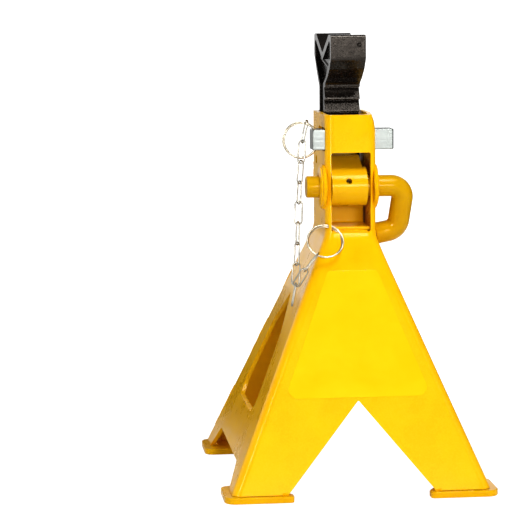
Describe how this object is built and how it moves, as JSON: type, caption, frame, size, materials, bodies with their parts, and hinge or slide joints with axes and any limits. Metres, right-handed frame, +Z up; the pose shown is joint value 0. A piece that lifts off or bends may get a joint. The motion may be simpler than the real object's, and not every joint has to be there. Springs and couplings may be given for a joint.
{
  "type": "axle jack stand",
  "caption": "Ratcheting axle stand: folded sheet pyramid base with foot plates, toothed lifting bar with a V saddle, pawl on a bent-rod handle, and a keeper pin on a small chain.",
  "frame": {"origin": "centre of the footprint at floor level, under the foot plates", "axes": "+Z up along the lifting bar, -Y towards the front face with the pawl window, +X towards the handle"},
  "size_m": [0.1672, 0.1832, 0.278],
  "materials": {
    "base_shell": "glossy yellow paint on steel",
    "rear_panel": "glossy yellow paint on steel",
    "bar_guide": "glossy yellow paint on steel",
    "foot_front_left": "glossy yellow paint on steel",
    "foot_front_right": "glossy yellow paint on steel",
    "foot_rear_left": "glossy yellow paint on steel",
    "foot_rear_right": "glossy yellow paint on steel",
    "boss_left": "glossy yellow paint on steel",
    "boss_right": "glossy yellow paint on steel",
    "front_label": "glossy yellow film, blank",
    "ratchet_bar": "black paint over rough casting",
    "bar_stop_pin": "plain spring steel",
    "pawl": "glossy yellow paint on steel",
    "handle_shaft": "glossy yellow paint on steel",
    "pawl_roll_pin": "plain spring steel",
    "lock_pin": "satin zinc plating",
    "pin_ring": "bright plated wire",
    "anchor_ring": "bright plated wire",
    "chain_link_01": "bright plated wire",
    "chain_link_02": "bright plated wire",
    "chain_link_03": "bright plated wire",
    "chain_link_04": "bright plated wire",
    "chain_link_05": "bright plated wire",
    "chain_link_06": "bright plated wire",
    "chain_link_07": "bright plated wire",
    "chain_link_08": "bright plated wire",
    "chain_link_09": "bright plated wire",
    "chain_link_10": "bright plated wire",
    "chain_link_11": "bright plated wire"
  },
  "bodies": {
    "frame": {"base_shell": "base_shell", "rear_panel": "rear_panel", "bar_guide": "bar_guide", "foot_front_left": "foot_front_left", "foot_front_right": "foot_front_right", "foot_rear_left": "foot_rear_left", "foot_rear_right": "foot_rear_right", "boss_left": "boss_left", "boss_right": "boss_right", "front_label": "front_label"},
    "lifting_bar": {"ratchet_bar": "ratchet_bar", "bar_stop_pin": "bar_stop_pin"},
    "pawl_handle": {"pawl": "pawl", "handle_shaft": "handle_shaft", "pawl_roll_pin": "pawl_roll_pin"},
    "keeper_pin": {"lock_pin": "lock_pin"},
    "upper_ring": {"pin_ring": "pin_ring"},
    "lower_ring": {"anchor_ring": "anchor_ring"},
    "chain_top": {"chain_link_01": "chain_link_01", "chain_link_02": "chain_link_02"},
    "chain_run": {"chain_link_03": "chain_link_03", "chain_link_04": "chain_link_04", "chain_link_05": "chain_link_05", "chain_link_06": "chain_link_06", "chain_link_07": "chain_link_07", "chain_link_08": "chain_link_08"},
    "chain_tail": {"chain_link_09": "chain_link_09"},
    "chain_elbow": {"chain_link_10": "chain_link_10"},
    "chain_end": {"chain_link_11": "chain_link_11"}
  },
  "joints": [
    {"name": "lifting_bar_slide", "type": "slide", "parent": "frame", "child": "lifting_bar", "axis": [0, 0, 1], "range_m": [0, 0.1395]},
    {"name": "pawl_handle_turn", "type": "hinge", "parent": "frame", "child": "pawl_handle", "pos_m": [0, -0.0315, 0.185], "axis": [1, 0, 0], "range_deg": [0, 12]},
    {"name": "keeper_pin_slide", "type": "slide", "parent": "frame", "child": "keeper_pin", "axis": [-1, 0, 0], "range_m": [0, 0.044]},
    {"name": "upper_ring_turn", "type": "hinge", "parent": "keeper_pin", "child": "upper_ring", "pos_m": [-0.029, -0.028, 0.2137], "axis": [0, 1, 0], "range_deg": [-60, 60]},
    {"name": "lower_ring_turn", "type": "hinge", "parent": "frame", "child": "lower_ring", "pos_m": [-0.0162, -0.04395, 0.15228], "axis": [0, -0.829, 0.5592], "range_deg": [-60, 60]},
    {"name": "chain_end_hinge", "type": "hinge", "parent": "frame", "child": "chain_end", "pos_m": [-0.02203, -0.04917, 0.14455], "axis": [0, 1, 0], "range_deg": [0, 18]},
    {"name": "chain_elbow_hinge", "type": "hinge", "parent": "chain_end", "child": "chain_elbow", "pos_m": [-0.02939, -0.04995, 0.13558], "axis": [0, 1, 0], "range_deg": [0, 18]},
    {"name": "chain_tail_hinge", "type": "hinge", "parent": "chain_elbow", "child": "chain_tail", "pos_m": [-0.0345, -0.0431, 0.126], "axis": [0, 1, 0], "range_deg": [-35, 0]},
    {"name": "chain_run_hinge", "type": "hinge", "parent": "chain_elbow", "child": "chain_run", "pos_m": [-0.0345, -0.0431, 0.126], "axis": [0, 1, 0], "range_deg": [-64, 0]},
    {"name": "chain_top_hinge", "type": "hinge", "parent": "chain_run", "child": "chain_top", "pos_m": [-0.02939, -0.03166, 0.20055], "axis": [0, 1, 0], "range_deg": [0, 30]}
  ],
  "couplings": [
    {"joint": "chain_end_hinge", "follows": "keeper_pin_slide", "rad_per_m": 6.7682},
    {"joint": "chain_elbow_hinge", "follows": "keeper_pin_slide", "rad_per_m": 6.7682},
    {"joint": "chain_tail_hinge", "follows": "keeper_pin_slide", "rad_per_m": -13.536},
    {"joint": "chain_run_hinge", "follows": "keeper_pin_slide", "rad_per_m": -25.179},
    {"joint": "chain_top_hinge", "follows": "keeper_pin_slide", "rad_per_m": 11.643}
  ]
}
